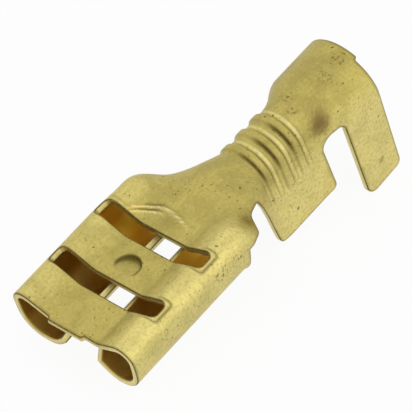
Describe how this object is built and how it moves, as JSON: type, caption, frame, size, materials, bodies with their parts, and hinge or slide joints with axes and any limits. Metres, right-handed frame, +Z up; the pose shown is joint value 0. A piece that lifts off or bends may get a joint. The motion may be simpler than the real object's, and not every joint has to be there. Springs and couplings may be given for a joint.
{
  "type": "female spade terminal",
  "caption": "Open-barrel push-on female spade terminal folded from one brass sheet, with rolled tab socket, slots, grip ribs and crimp wings.",
  "frame": {"origin": "centre of the bounding box in plan, at the level of the surface it rests on", "axes": "+X from the tab mouth toward the insulation wings, +Y across the terminal, +Z up with the back of the sheet on top; the terminal rests on its mouth and its insulation wing tips"},
  "size_m": [0.0204, 0.0076, 0.0075],
  "materials": {
    "brass": "satin rolled strip brass, olive yellow, lightly scuffed and spotted"
  },
  "bodies": {
    "root": {"terminal": "brass"}
  },
  "joints": []
}
